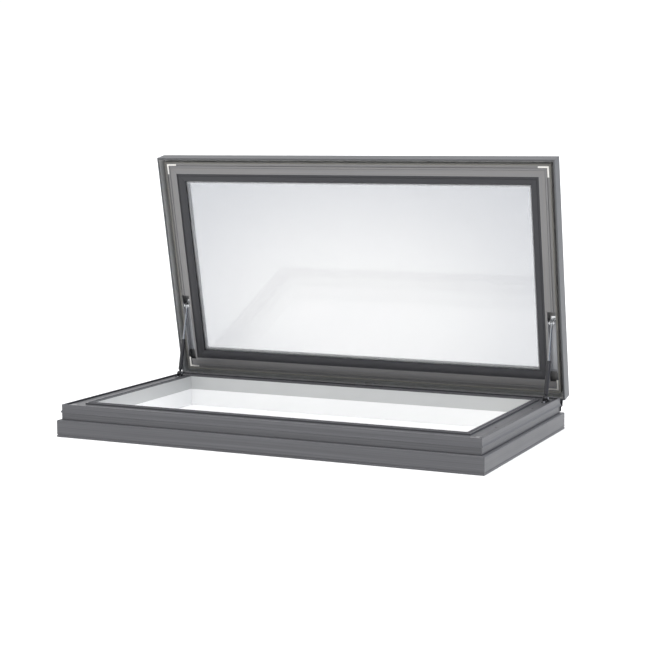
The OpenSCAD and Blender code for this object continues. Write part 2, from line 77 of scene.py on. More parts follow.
studio = {
    "floorSize": 400.0,
    "floorDrop": 0.5 * mm,       # the floor lies this far below the fascia's foot
    "floorColor": "#f2f2f2",
    "floorRough": 0.9,
    "floorSheen": 0.1,
    "skyColor": "#ffffff",
    "coolColor": "#8b97ad",      # the cove's right-hand side is dimmer and bluer
    "coolSpan": (0.0, 0.5),      # from the middle of the unit sky to this far right
    "horizon": 1.04,             # brightness of the white cove round the horizon
    "zenith": 0.36,              # and overhead, where the key light takes over
    "coveTop": (0.24, 0.62),     # heights on the unit sky between which the one fades to the other
    "keyColor": "#ffffff",
    "keyStrength": 4.2,
    "keySoftness": 50,           # degrees across
    "keyFrom": (0.14, -0.06, 0.98),
}


def hexColor(code):
    parts = [int(code[i:i + 2], 16) / 255 for i in (1, 3, 5)]
    return [p / 12.92 if p <= 0.04045 else ((p + 0.055) / 1.055) ** 2.4 for p in parts] + [1.0]


def addNode(tree, kind, settings=None, links=None):
    node = tree.nodes.new(kind)
    for key, value in (settings or {}).items():
        if isinstance(key, str) and hasattr(node, key):
            setattr(node, key, value)
        else:
            node.inputs[key].default_value = value
    for key, socket in (links or {}).items():
        tree.links.new(socket, node.inputs[key])
    return node


def setCamera():
    data = bpy.data.cameras.new("camera")
    data.lens = view["lens"]
    data.sensor_width = view["sensor"]
    data.clip_end = view["reach"]
    camera = bpy.data.objects.new("camera", data)
    camera.location = view["place"]
    camera.rotation_euler = [math.radians(a) for a in view["turn"]]
    bpy.context.scene.collection.objects.link(camera)
    bpy.context.scene.camera = camera
    bpy.context.scene.view_settings.view_transform = "Standard"


def setLight():
    world = bpy.data.worlds.new("studio")
    world.use_nodes = True
    tree = world.node_tree
    back = tree.nodes["Background"]
    sky = addNode(tree, "ShaderNodeTexCoord")
    way = addNode(tree, "ShaderNodeSeparateXYZ", links={0: sky.outputs["Generated"]})
    glow = addNode(tree, "ShaderNodeMapRange", {
        "interpolation_type": "SMOOTHSTEP", "From Min": studio["coveTop"][0],
        "From Max": studio["coveTop"][1], "To Min": studio["horizon"], "To Max": studio["zenith"]},
        {0: way.outputs["Z"]})
    tree.links.new(glow.outputs[0], back.inputs["Strength"])
    cool = addNode(tree, "ShaderNodeMapRange", {
        "From Min": studio["coolSpan"][0], "From Max": studio["coolSpan"][1]}, {0: way.outputs["X"]})
    tint = addNode(tree, "ShaderNodeMix", {
        "data_type": "RGBA", 6: hexColor(studio["skyColor"]), 7: hexColor(studio["coolColor"])},
        {0: cool.outputs[0]})
    tree.links.new(tint.outputs[2], back.inputs["Color"])
    bpy.context.scene.world = world
    data = bpy.data.lights.new("key", "SUN")
    data.energy = studio["keyStrength"]
    data.angle = math.radians(studio["keySoftness"])
    data.color = hexColor(studio["keyColor"])[:3]
    key = bpy.data.objects.new("key", data)
    key.rotation_euler = Vector(studio["keyFrom"]).to_track_quat("Z", "Y").to_euler()
    bpy.context.scene.collection.objects.link(key)


def setFloor():
    bm = bmesh.new()
    bmesh.ops.create_circle(bm, cap_ends=True, radius=studio["floorSize"] / 2, segments=96)
    bmesh.ops.translate(bm, verts=bm.verts, vec=(0, 0, cadBox[0].z - studio["floorDrop"]))
    mesh = bpy.data.meshes.new("floor")
    bm.to_mesh(mesh)
    bm.free()
    floor = bpy.data.objects.new("floor", mesh)
    bpy.context.scene.collection.objects.link(floor)
    paint = bpy.data.materials.new("matt floor paint")
    paint.use_nodes = True
    shader = paint.node_tree.nodes["Principled BSDF"]
    shader.inputs["Base Color"].default_value = hexColor(studio["floorColor"])
    shader.inputs["Roughness"].default_value = studio["floorRough"]
    shader.inputs["Specular IOR Level"].default_value = studio["floorSheen"]
    mesh.materials.append(paint)


setCamera()
setLight()
setFloor()
print("camera, light and floor set")

# the lid is drawn shut and then swung open about the hinge
hinge = next(j for j in frame["joints"] if j["name"] == "lid_hinge")
hingePoint = Vector(hinge["pos_m"])
openAngle = math.radians(hinge["range_deg"][1])
toOpen = (Matrix.Translation(hingePoint) @ Matrix.Rotation(-openAngle, 4, "X")
          @ Matrix.Translation(-hingePoint))
toShut = toOpen.inverted()
half = Vector((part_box("fascia_right")[1].x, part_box("fascia_rear")[1].y))
record = frame["record"]
bodyOf = {node: body for body, nodes in record["behaviour"]["bodies"].items() for node in nodes}


def cornersOf(points):
    return (Vector(min(p[i] for p in points) for i in range(3)),
            Vector(max(p[i] for p in points) for i in range(3)))


def solidsOf(node):
    # the boxes of a node's separate solids, measured with the lid shut
    bm = bmesh.new()
    bm.from_mesh(frame["nodes"][node].data)
    bmesh.ops.remove_doubles(bm, verts=bm.verts, dist=cadWeld)
    if bodyOf[node] == "lid":
        bm.transform(toShut)
    left = set(bm.verts)
    boxes = []
    while left:
        front = [left.pop()]
        group = []
        while front:
            vert = front.pop()
            group.append(vert.co.copy())
            near = {edge.other_vert(vert) for edge in vert.link_edges} & left
            left -= near
            front += near
        boxes.append(cornersOf(group))
    bm.free()
    return sorted(boxes, key=lambda box: tuple(box[0]))


def newMaterial(name):
    material = bpy.data.materials.new(name)
    material.use_nodes = True
    tree = material.node_tree
    return material, tree, tree.nodes["Principled BSDF"]


def objectPoint(tree, onLid=False):
    point = addNode(tree, "ShaderNodeTexCoord").outputs["Object"]
    if not onLid:
        return point
    settings = {"Rotation": tuple(toShut.to_euler()), "Location": tuple(toShut.translation)}
    return addNode(tree, "ShaderNodeMapping", settings, {"Vector": point}).outputs["Vector"]


def railPoint(tree, onLid=False):
    # (along, across, height) of a mitred frame: across is the distance in from the outer face
    split = addNode(tree, "ShaderNodeSeparateXYZ", links={0: objectPoint(tree, onLid)})
    inward = []
    for axis, reach in (("X", half.x), ("Y", half.y)):
        size = addNode(tree, "ShaderNodeMath", {"operation": "ABSOLUTE"}, {0: split.outputs[axis]})
        inward.append(addNode(tree, "ShaderNodeMath", {"operation": "SUBTRACT", 0: reach},
                              {1: size.outputs[0]}).outputs[0])
    across = addNode(tree, "ShaderNodeMath", {"operation": "MINIMUM"}, {0: inward[0], 1: inward[1]})
    along = addNode(tree, "ShaderNodeMath", {"operation": "MAXIMUM"}, {0: inward[0], 1: inward[1]})
    return addNode(tree, "ShaderNodeCombineXYZ", links={
        "X": along.outputs[0], "Y": across.outputs[0], "Z": split.outputs["Z"]}).outputs[0]


def tinted(tree, shader, color, tone):
    # the finish's colour, made lighter and darker by a tone around 1
    base = addNode(tree, "ShaderNodeMix", {"data_type": "RGBA", "blend_type": "MULTIPLY", 0: 1.0,
                                           6: hexColor(color)}, {7: tone})
    tree.links.new(base.outputs[2], shader.inputs["Base Color"])


coating = {
    "cloud": 3.0,               # slow changes of tone, in waves to the metre
    "cloudTone": 0.07,          # share by which they lighten and darken the coat
    "peel": 2.5 * mm,           # the orange peel's own waves
    "peelTone": 0.04,
    "peelDepth": 0.06 * mm,
    "streakRun": 0.7,           # waves to the metre along a profile
    "streakWidth": 6 * mm,
}


def powderCoat(name, color, onLid=False, rough=(0.4, 0.52), streak=0.0):
    # polyester powder coat stoved on aluminium or steel: satin, with a faint orange peel; on an
    # extrusion the die lines still show through as long streaks
    material, tree, shader = newMaterial(name)
    point = objectPoint(tree, onLid)
    cloud = addNode(tree, "ShaderNodeTexNoise", {"Scale": coating["cloud"], "Detail": 3.0},
                    {"Vector": point})
    tone = addNode(tree, "ShaderNodeMapRange", {
        "To Min": 1 - coating["cloudTone"], "To Max": 1 + coating["cloudTone"]}, {0: cloud.outputs[0]})
    grain = addNode(tree, "ShaderNodeTexNoise", {"Scale": 1 / coating["peel"], "Detail": 2.0},
                    {"Vector": point})
    speck = addNode(tree, "ShaderNodeMapRange", {
        "To Min": 1 - coating["peelTone"], "To Max": 1 + coating["peelTone"]}, {0: grain.outputs[0]})
    both = addNode(tree, "ShaderNodeMath", {"operation": "MULTIPLY"},
                   {0: tone.outputs[0], 1: speck.outputs[0]})
    if streak:
        thin = 1 / coating["streakWidth"]
        run = addNode(tree, "ShaderNodeMapping", {"Scale": (coating["streakRun"], thin, thin)},
                      {"Vector": railPoint(tree, onLid)})
        lines = addNode(tree, "ShaderNodeTexNoise", {"Scale": 1.0, "Detail": 3.0},
                        {"Vector": run.outputs[0]})
        shade = addNode(tree, "ShaderNodeMapRange", {
            "From Min": 0.3, "From Max": 0.7, "To Min": 1 - streak, "To Max": 1 + streak},
            {0: lines.outputs[0]})
        both = addNode(tree, "ShaderNodeMath", {"operation": "MULTIPLY"},
                       {0: both.outputs[0], 1: shade.outputs[0]})
    tinted(tree, shader, color, both.outputs[0])
    gloss = addNode(tree, "ShaderNodeMapRange", {"To Min": rough[0], "To Max": rough[1]},
                    {0: cloud.outputs[0]})
    tree.links.new(gloss.outputs[0], shader.inputs["Roughness"])
    peel = addNode(tree, "ShaderNodeBump", {"Strength": 0.25, "Distance": coating["peelDepth"]},
                   {"Height": grain.outputs[0]})
    tree.links.new(peel.outputs[0], shader.inputs["Normal"])
    shader.inputs["IOR"].default_value = 1.5
    return material


def bareAndLitInside(material, color, across, above):
    # the coat stops at the skirt's edge: deeper in than across, and higher than above, the metal is bare; its pale
    # colour is partly painted light that lifts the shade in the deep gap between skirt and carrier
    tree = material.node_tree
    coated = tree.nodes["Principled BSDF"].inputs["Base Color"]
    split = addNode(tree, "ShaderNodeSeparateXYZ", links={0: railPoint(tree, onLid=True)})
    deep = addNode(tree, "ShaderNodeMath", {"operation": "GREATER_THAN", 1: across},
                   {0: split.outputs["Y"]})
    high = addNode(tree, "ShaderNodeMath", {"operation": "GREATER_THAN", 1: above},
                   {0: split.outputs["Z"]})
    bare = addNode(tree, "ShaderNodeMath", {"operation": "MULTIPLY"},
                   {0: deep.outputs[0], 1: high.outputs[0]})
    paint = addNode(tree, "ShaderNodeMix", {"data_type": "RGBA", 7: hexColor(color)},
                    {0: bare.outputs[0], 6: coated.links[0].from_socket})
    tree.links.new(paint.outputs[2], coated)


extrusion = {
    "fineRun": 0.6,             # waves to the metre along the profile
    "fineWidth": 1.6 * mm,
    "fineTone": 0.2,            # share by which the lines lighten and darken the metal
    "fineDepth": 0.05 * mm,
    "wideRun": 1.1,
    "wideWidth": 9 * mm,
    "gloss": (0.34, 0.5),
}


def extrudedAluminium(name, warm, cool, metallic):
    # mill-finish extrusion: die lines run the whole length of the profile
    material, tree, shader = newMaterial(name)
    point = railPoint(tree, onLid=True)
    thin = 1 / extrusion["fineWidth"]
    fine = addNode(tree, "ShaderNodeMapping", {"Scale": (extrusion["fineRun"], thin, thin)},
                   {"Vector": point})
    lines = addNode(tree, "ShaderNodeTexNoise", {"Scale": 1.0, "Detail": 4.0, "Roughness": 0.6},
                    {"Vector": fine.outputs[0]})
    tone = addNode(tree, "ShaderNodeMapRange", {
        "From Min": 0.3, "From Max": 0.7, "To Min": 1 - extrusion["fineTone"],
        "To Max": 1 + extrusion["fineTone"]}, {0: lines.outputs[0]})
    broad = 1 / extrusion["wideWidth"]
    wide = addNode(tree, "ShaderNodeMapping", {"Scale": (extrusion["wideRun"], broad, broad)},
                   {"Vector": point})
    cast = addNode(tree, "ShaderNodeTexNoise", {"Scale": 1.0, "Detail": 2.0},
                   {"Vector": wide.outputs[0]})
    blend = addNode(tree, "ShaderNodeMix", {"data_type": "RGBA", 6: hexColor(warm), 7: hexColor(cool)},
                    {0: cast.outputs[0]})
    base = addNode(tree, "ShaderNodeMix", {"data_type": "RGBA", "blend_type": "MULTIPLY", 0: 1.0},
                   {6: blend.outputs[2], 7: tone.outputs[0]})
    tree.links.new(base.outputs[2], shader.inputs["Base Color"])
    gloss = addNode(tree, "ShaderNodeMapRange", {
        "To Min": extrusion["gloss"][0], "To Max": extrusion["gloss"][1]}, {0: lines.outputs[0]})
    tree.links.new(gloss.outputs[0], shader.inputs["Roughness"])
    scratch = addNode(tree, "ShaderNodeBump", {"Strength": 0.3, "Distance": extrusion["fineDepth"]},
                      {"Height": lines.outputs[0]})
    tree.links.new(scratch.outputs[0], shader.inputs["Normal"])
    shader.inputs["Metallic"].default_value = metallic
    return material


def bareMetal(name, color, rough, grain=3.0, spread=0.1, metallic=1.0):
    # plated, cast or turned metal: cloudy in tone and gloss, in patches of grain mm
    material, tree, shader = newMaterial(name)
    cloud = addNode(tree, "ShaderNodeTexNoise", {"Scale": 1 / (grain * mm), "Detail": 4.0},
                    {"Vector": objectPoint(tree)})
    tone = addNode(tree, "ShaderNodeMapRange", {"To Min": 1 - spread, "To Max": 1 + spread},
                   {0: cloud.outputs[0]})
    tinted(tree, shader, color, tone.outputs[0])
    gloss = addNode(tree, "ShaderNodeMapRange", {"To Min": rough * 0.8, "To Max": rough * 1.3},
                    {0: cloud.outputs[0]})
    tree.links.new(gloss.outputs[0], shader.inputs["Roughness"])
    shader.inputs["Metallic"].default_value = metallic
    return material


def rubber(name, color, rough=0.62):
    # EPDM, silicone and butyl, and the dull plastics and enamel beside them: soft sheen, a little bloom
    bloom = {"patch": 4 * mm, "tone": (0.8, 1.35), "gloss": (0.85, 1.15)}
    material, tree, shader = newMaterial(name)
    cloud = addNode(tree, "ShaderNodeTexNoise", {"Scale": 1 / bloom["patch"], "Detail": 4.0},
                    {"Vector": objectPoint(tree)})
    tone = addNode(tree, "ShaderNodeMapRange", {
        "To Min": bloom["tone"][0], "To Max": bloom["tone"][1]}, {0: cloud.outputs[0]})
    tinted(tree, shader, color, tone.outputs[0])
    gloss = addNode(tree, "ShaderNodeMapRange", {
        "To Min": rough * bloom["gloss"][0], "To Max": rough * bloom["gloss"][1]},
        {0: cloud.outputs[0]})
    tree.links.new(gloss.outputs[0], shader.inputs["Roughness"])
    return material


def facedBoard(name, color, rough=0.42):
    # melamine-faced board or PVC trim: white, smooth, with a trace of roller texture
    facing = {"cloud": 5.0, "tone": (0.97, 1.03), "roller": 1.5 * mm, "depth": 0.05 * mm}
    material, tree, shader = newMaterial(name)
    point = objectPoint(tree)
    cloud = addNode(tree, "ShaderNodeTexNoise", {"Scale": facing["cloud"], "Detail": 3.0},
                    {"Vector": point})
    tone = addNode(tree, "ShaderNodeMapRange", {
        "To Min": facing["tone"][0], "To Max": facing["tone"][1]}, {0: cloud.outputs[0]})
    tinted(tree, shader, color, tone.outputs[0])
    grain = addNode(tree, "ShaderNodeTexNoise", {"Scale": 1 / facing["roller"], "Detail": 3.0},
                    {"Vector": point})
    peel = addNode(tree, "ShaderNodeBump", {"Strength": 0.2, "Distance": facing["depth"]},
                   {"Height": grain.outputs[0]})
    tree.links.new(peel.outputs[0], shader.inputs["Normal"])
    shader.inputs["Roughness"].default_value = rough
    return material


def rigidFoam(name, color):
    # PIR foam: pale and dull, with closed cells about a millimetre across
    foam = {"cell": 1.2 * mm, "tone": (0.8, 1.1), "depth": 0.3 * mm, "rough": 0.9}
    material, tree, shader = newMaterial(name)
    cells = addNode(tree, "ShaderNodeTexVoronoi", {"Scale": 1 / foam["cell"]},
                    {"Vector": objectPoint(tree)})
    tone = addNode(tree, "ShaderNodeMapRange", {
        "From Max": 0.7, "To Min": foam["tone"][0], "To Max": foam["tone"][1]},
        {0: cells.outputs["Distance"]})
    tinted(tree, shader, color, tone.outputs[0])
    dent = addNode(tree, "ShaderNodeBump", {"Strength": 0.6, "Distance": foam["depth"]},
                   {"Height": cells.outputs["Distance"]})
    tree.links.new(dent.outputs[0], shader.inputs["Normal"])
    shader.inputs["Roughness"].default_value = foam["rough"]
    return material


def perforatedSpacer(name, color):
    # folded spacer bar: satin silver painted near white, partly a painted highlight that keeps it bright in the
    # shaded cavity, with one row of breather holes towards the cavity
    holes = {
        "pitch": 6 * mm,
        "rowPitch": 16 * mm,    # as much as the bar is high, so that it holds one row
        "rowHeight": 120 * mm,  # the bar's middle, with the lid shut
        "edge": (0.5 * mm, 0.8 * mm),
        "dark": 0.25,           # the holes' share of the bar's brightness
    }
    material, tree, shader = newMaterial(name)
    split = addNode(tree, "ShaderNodeSeparateXYZ", links={0: railPoint(tree, onLid=True)})
    places = []
    for axis, pitch, centre in (("X", holes["pitch"], 0.0), ("Z", holes["rowPitch"], holes["rowHeight"])):
        turns = addNode(tree, "ShaderNodeMath", {
            "operation": "MULTIPLY_ADD", 1: 1 / pitch, 2: 0.5 - centre / pitch}, {0: split.outputs[axis]})
        share = addNode(tree, "ShaderNodeMath", {"operation": "FRACT"}, {0: turns.outputs[0]})
        place = addNode(tree, "ShaderNodeMath", {"operation": "MULTIPLY_ADD", 1: pitch, 2: -pitch / 2},
                        {0: share.outputs[0]})
        places.append(place.outputs[0])
    spot = addNode(tree, "ShaderNodeCombineXYZ", links={0: places[0], 1: places[1]})
    reach = addNode(tree, "ShaderNodeVectorMath", {"operation": "LENGTH"}, {0: spot.outputs[0]})
    tone = addNode(tree, "ShaderNodeMapRange", {
        "From Min": holes["edge"][0], "From Max": holes["edge"][1], "To Min": holes["dark"],
        "To Max": 1.0}, {0: reach.outputs["Value"]})
    # near-white colour: the bar's own light finish and partly a painted highlight
    tinted(tree, shader, color, tone.outputs[0])
    shader.inputs["Roughness"].default_value = 0.38
    shader.inputs["Metallic"].default_value = 0.1
    return material


def floatGlass(name, tint, clear):
    # float glass with the slight grey of a sun-control coating, and painted shade that darkens it from a clear
    # spot a little behind the middle out towards the edges
    paneShade = {"shift": (0.0, -0.25, 0.0), "squash": (0.75, 1.15, 0.0), "fade": (0.15, 1.15)}
    material, tree, shader = newMaterial(name)
    spread = addNode(tree, "ShaderNodeMapping", {"Location": paneShade["shift"], "Scale": paneShade["squash"]},
                     {"Vector": objectPoint(tree, onLid=True)})
    reach = addNode(tree, "ShaderNodeVectorMath", {"operation": "LENGTH"}, {0: spread.outputs[0]})
    fade = addNode(tree, "ShaderNodeMapRange", {
        "interpolation_type": "SMOOTHSTEP", "From Min": paneShade["fade"][0], "From Max": paneShade["fade"][1]},
        {0: reach.outputs["Value"]})
    # painted shade: the pane goes from the clear colour to the tint away from that spot
    shade = addNode(tree, "ShaderNodeMix", {"data_type": "RGBA", 6: hexColor(clear), 7: hexColor(tint)},
                    {0: fade.outputs[0]})
    tree.links.new(shade.outputs[2], shader.inputs["Base Color"])
    shader.inputs["Transmission Weight"].default_value = 1.0
    shader.inputs["Roughness"].default_value = 0.0
    shader.inputs["IOR"].default_value = 1.3  # lower than real glass: two coated panes reflect little
    return material


finish = {
    "coat": powderCoat("satin powder coat", "#565659", rough=(0.34, 0.44), streak=0.22),
    "lidCoat": powderCoat("satin powder coat on the lid", "#56575a", onLid=True, rough=(0.34, 0.44),
                          streak=0.22),
    "ledge": powderCoat("dark matt coat on the glazing ledge", "#303034", onLid=True),
    "blackSteel": powderCoat("black coated steel", "#2b2b2e"),
    "stayCoat": powderCoat("black coated stay tube", "#303033"),
    "carrier": extrudedAluminium("mill-finish carrier extrusion", "#87837e", "#7d7f84", metallic=0.3),
    "board": facedBoard("melamine-faced lining board", "#c5c6c5"),
    "trim": facedBoard("white PVC trim", "#fcfcfb", 0.35),
    "foam": rigidFoam("rigid foam", "#d8cfa8"),
    "gasket": rubber("EPDM bulb gasket", "#545457"),
    "silicone": rubber("glazing silicone", "#232326", 0.45),
    "butyl": rubber("butyl edge seal", "#161618", 0.5),
    "enamel": rubber("black ceramic enamel", "#121214", 0.3),
    "wiper": rubber("nitrile wiper", "#101012", 0.4),
    "pile": rubber("polypropylene pile", "#8b8982", 0.9),
    "packer": rubber("polypropylene packer", "#3f5a78", 0.5),
    "glass": floatGlass("coated float glass", "#d3d4d6", "#e6e6e6"),
    "innerGlass": floatGlass("laminated float glass", "#d3d4d6", "#e6e6e6"),
    "spacer": perforatedSpacer("aluminium spacer bar", "#fafafa"),
    "zinc": bareMetal("zinc-plated steel", "#b9bcc0", 0.34, spread=0.18),
    "bright": bareMetal("polished stainless steel", "#f0f1f2", 0.2, metallic=0.8),
    "channel": bareMetal("rolled aluminium channel", "#a8a9ac", 0.32, metallic=0.7),
    "rod": bareMetal("ground steel rod", "#a9abae", 0.2, grain=6.0, spread=0.04),
    "cast": bareMetal("die-cast corner key", "#eceae4", 0.4, metallic=0.6),
    "cleat": bareMetal("mill aluminium cleat", "#a9a9ab", 0.42),
}
# the skirt's bare inside: pale metal, and partly painted light that lifts the shade in the gap
bareAndLitInside(finish["lidCoat"], "#c4c4c2", across=2.5 * mm, above=66.5 * mm)
print(len(finish), "finishes mixed")


def makePiece(name, bm, finishName, node):
    # a piece that rides with a CAD node's body, in the finish it is given
    mesh = bpy.data.meshes.new(name)
    bm.to_mesh(mesh)
    bm.free()
    mesh.materials.append(finish[finishName])
    piece = bpy.data.objects.new(name, mesh)
    bpy.context.scene.collection.objects.link(piece)
    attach(piece, bodyOf[node])
    return piece


def addShape(name, bm, finishName, node, stands=True, sharp=35):
    # a drawn shape, swung open if it is on the lid; it stands for its node unless it only adds to it
    bmesh.ops.remove_doubles(bm, verts=bm.verts, dist=shapeWeld)
    bmesh.ops.recalc_face_normals(bm, faces=bm.faces)
    for face in bm.faces:
        face.smooth = True
    if bodyOf[node] == "lid":
        bm.transform(toOpen)
    piece = makePiece(name, bm, finishName, node)
    piece.data.set_sharp_from_angle(angle=math.radians(sharp))
    if stands:
        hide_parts(node)
    return piece


# sawn, pressed and extruded pieces, and the panes: their CAD form with the edges taken off
edgeWork = {
    "flat": 0.6,     # degrees between faces that count as one
    "corner": 30,    # degrees from which an edge is broken
    "steps": 2,
    "widths": [      # start of the node's name, width of the broken edge in mm, finish
        ("fascia_", 0.5, "coat"), ("kerb_corner_cleats", 0.4, "cleat"), ("kerb_", 0.4, "coat"),
        ("lining_trim", 0.5, "trim"), ("lining_", 0.5, "board"),
        ("hinge_kerb_leaf", 0.25, "blackSteel"), ("hinge_lid_leaf", 0.25, "blackSteel"),
        ("stay_kerb_bracket", 0.3, "blackSteel"), ("stay_lid_bracket", 0.3, "bright"),
        ("stay_channels", 0.4, "channel"), ("lid_skirt_", 0.5, "lidCoat"),
        ("lid_carrier_", 0.35, "carrier"), ("lid_bead_", 0.4, "ledge"),
        ("lid_corner_keys", 0.5, "cast"), ("setting_blocks", 0.5, "packer"),
        ("outer_pane", 0.7, "glass"), ("inner_pane", 0.7, "innerGlass"),
        ("spacer_bar", 0.6, "spacer"), ("edge_seal", 0.3, "butyl"),
    ],
}


def deburr(node, width, finishName):
    # a copy of the node as it stands, lid open
    bm = bmesh.new()
    bm.from_mesh(frame["nodes"][node].data)
    bmesh.ops.remove_doubles(bm, verts=bm.verts, dist=cadWeld)
    bmesh.ops.dissolve_limit(bm, angle_limit=math.radians(edgeWork["flat"]), verts=bm.verts,
                             edges=bm.edges)
    for face in bm.faces:
        face.smooth = True
    piece = makePiece(node + "_deburred", bm, finishName, node)
    bevel = piece.modifiers.new("broken edges", "BEVEL")
    bevel.width = width * mm
    bevel.segments = edgeWork["steps"]
    bevel.limit_method = "ANGLE"
    bevel.angle_limit = math.radians(edgeWork["corner"])
    bevel.use_clamp_overlap = False
    normals = piece.modifiers.new("flat faces", "WEIGHTED_NORMAL")
    normals.keep_sharp = True
    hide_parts(node)


for node in list(frame["nodes"]):
    work = next((row for row in edgeWork["widths"] if node.startswith(row[0])), None)
    if work:
        deburr(node, work[1], work[2])
print("profiles, plates and panes deburred")


def arc(u, z, radius, first, last, steps):
    # (u, z) points in mm between two angles in degrees
    turns = [math.radians(first + (last - first) * i / steps) for i in range(steps + 1)]
    return [(u + radius * math.cos(a), z + radius * math.sin(a)) for a in turns]


def sweepRing(profile):
    # a closed (u, z) profile in mm, run round the frame with mitred corners
    bm = bmesh.new()
    loop = [bm.verts.new((half.x - u * mm, half.y - u * mm, z * mm)) for u, z in profile]
    edges = [bm.edges.new((a, b)) for a, b in zip(loop, loop[1:] + loop[:1])]
    for flip in ((-1, 1, 1), (1, -1, 1)) * 2:
        out = bmesh.ops.extrude_edge_only(bm, edges=edges)["geom"]
        moved = {item for item in out if isinstance(item, bmesh.types.BMVert)}
        edges = [item for item in out if isinstance(item, bmesh.types.BMEdge)
                 and set(item.verts) <= moved]
        bmesh.ops.scale(bm, vec=flip, verts=list(moved))
    return bm


def ringLimits(node):
    # of a ring-shaped node with the lid shut, in mm: how far in it starts, its foot and its top
    low, high = solidsOf(node)[0]
    return (half.x - high.x) / mm, low.z / mm, high.z / mm


def makeGasket():
    gasket = {"footHalf": 6, "foot": 0.9, "lip": 0.5, "bulb": 3, "root": 0.6, "turn": (-10, 190),
              "steps": 14}
    start, low, high = ringLimits("rim_gasket")
    mid = start + gasket["footHalf"]
    wide = gasket["footHalf"]
    root = gasket["bulb"] + gasket["root"]
    profile = [(mid + wide, low), (mid + wide, low + gasket["lip"]), (mid + root, low + gasket["foot"])]
    profile += arc(mid, high - gasket["bulb"], gasket["bulb"], *gasket["turn"], gasket["steps"])
    profile += [(mid - root, low + gasket["foot"]), (mid - wide, low + gasket["lip"]), (mid - wide, low)]
    addShape("rim_bulb_gasket", sweepRing(profile), "gasket", "rim_gasket")


def makeSilicone():
    joint = {"dip": 0.8, "tape": 1.0, "steps": 8}
    steps = joint["steps"]
    skirtWall, low, high = ringLimits("weather_seal")
    shelf = ringLimits("lid_carrier_right")[0]
    pane = ringLimits("outer_pane")[0]
    tape = low + joint["tape"]
    profile = [(skirtWall, low), (shelf, low), (shelf, tape), (pane, tape)]
    for i in range(steps + 1):
        hollow = joint["dip"] * math.sin(math.pi * i / steps)
        profile.append((pane - (pane - skirtWall) * i / steps, high - hollow))
    addShape("silicone_joint", sweepRing(profile), "silicone", "weather_seal", sharp=60)


def makeEnamelBorder():
    # black ceramic border under the outer pane, which hides the carrier from above
    border = {"clear": 0.05, "thick": 0.25, "start": 0.4, "stop": 0.5}
    top = ringLimits("outer_pane")[1] - border["clear"]
    start = ringLimits("lid_carrier_right")[0] + border["start"]
    stop = ringLimits("edge_seal")[0] - border["stop"]
    foot = top - border["thick"]
    profile = [(start, foot), (stop, foot), (stop, top), (start, top)]
    addShape("enamel_border", sweepRing(profile), "enamel", "edge_seal", stands=False)


makeGasket()
makeSilicone()
makeEnamelBorder()
print("gasket, silicone and enamel swept")


def makePile():
    # pile weatherstrip: a backing tape with tufts standing on it, in mm
    tuft = {"pitch": 2.4, "rows": 2, "base": 1.3, "tip": 0.55, "sides": 4, "sink": 0.05, "lean": 0.35,
            "uneven": 0.25, "backing": 0.7, "width": 6}
    start, low, top = ringLimits("brush_seal")
    stop = start + tuft["width"]
    foot = top - tuft["backing"]
    bm = sweepRing([(start, foot), (stop, foot), (stop, top), (start, top)])
    length = foot - low
    for row in range(tuft["rows"]):
        inward = start + (stop - start) * (row + 0.5) / tuft["rows"]
        x = half.x / mm - inward
        y = half.y / mm - inward
        for along, across, flip in ((x, y, False), (y, x, True)):
            count = int(2 * along / tuft["pitch"])
            for side in (-1, 1):
                for i in range(count):
                    run = -along + 2 * along * (i + 0.5) / count
                    tall = length * (1 - tuft["uneven"] * random.random())
                    spot = Vector((run, side * across, foot - tall / 2 + tuft["sink"]))
                    if flip:
                        spot = Vector((spot.y, spot.x, spot.z))
                    lean = Matrix.Rotation(random.uniform(-1, 1) * tuft["lean"], 4, "X")
                    turn = Matrix.Rotation(random.uniform(0, math.pi), 4, "Z")
                    place = Matrix.Scale(mm, 4) @ Matrix.Translation(spot) @ turn @ lean
                    bmesh.ops.create_cone(bm, cap_ends=True, segments=tuft["sides"], radius1=tuft["tip"],
                                          radius2=tuft["base"], depth=tall, matrix=place)
    addShape("pile_weatherstrip", bm, "pile", "brush_seal", sharp=50)


makePile()
print("pile weatherstrip planted")


def turned(place, profile, steps=40):
    # (radius, height) points in mm, turned about the local Z axis and put in place
    bm = bmesh.new()
    line = [bm.verts.new((r * mm, 0, z * mm)) for r, z in profile]
    edges = [bm.edges.new(pair) for pair in zip(line, line[1:])]
    bmesh.ops.spin(bm, geom=line + edges, cent=(0, 0, 0), axis=(0, 0, 1), angle=2 * math.pi,
                   steps=steps, use_merge=True, use_duplicate=False)
    bm.transform(place)
    return bm


def joined(shapes):
    whole = bmesh.new()
    for shape in shapes:
        mesh = bpy.data.meshes.new("shape")
        shape.to_mesh(mesh)
        shape.free()
        whole.from_mesh(mesh)
        bpy.data.meshes.remove(mesh)
    return whole


screw = {"socket": 1.7, "socketDepth": 1.5, "segments": 24, "headHeight": 2.6, "shank": 2.5,
         "point": 0.6}


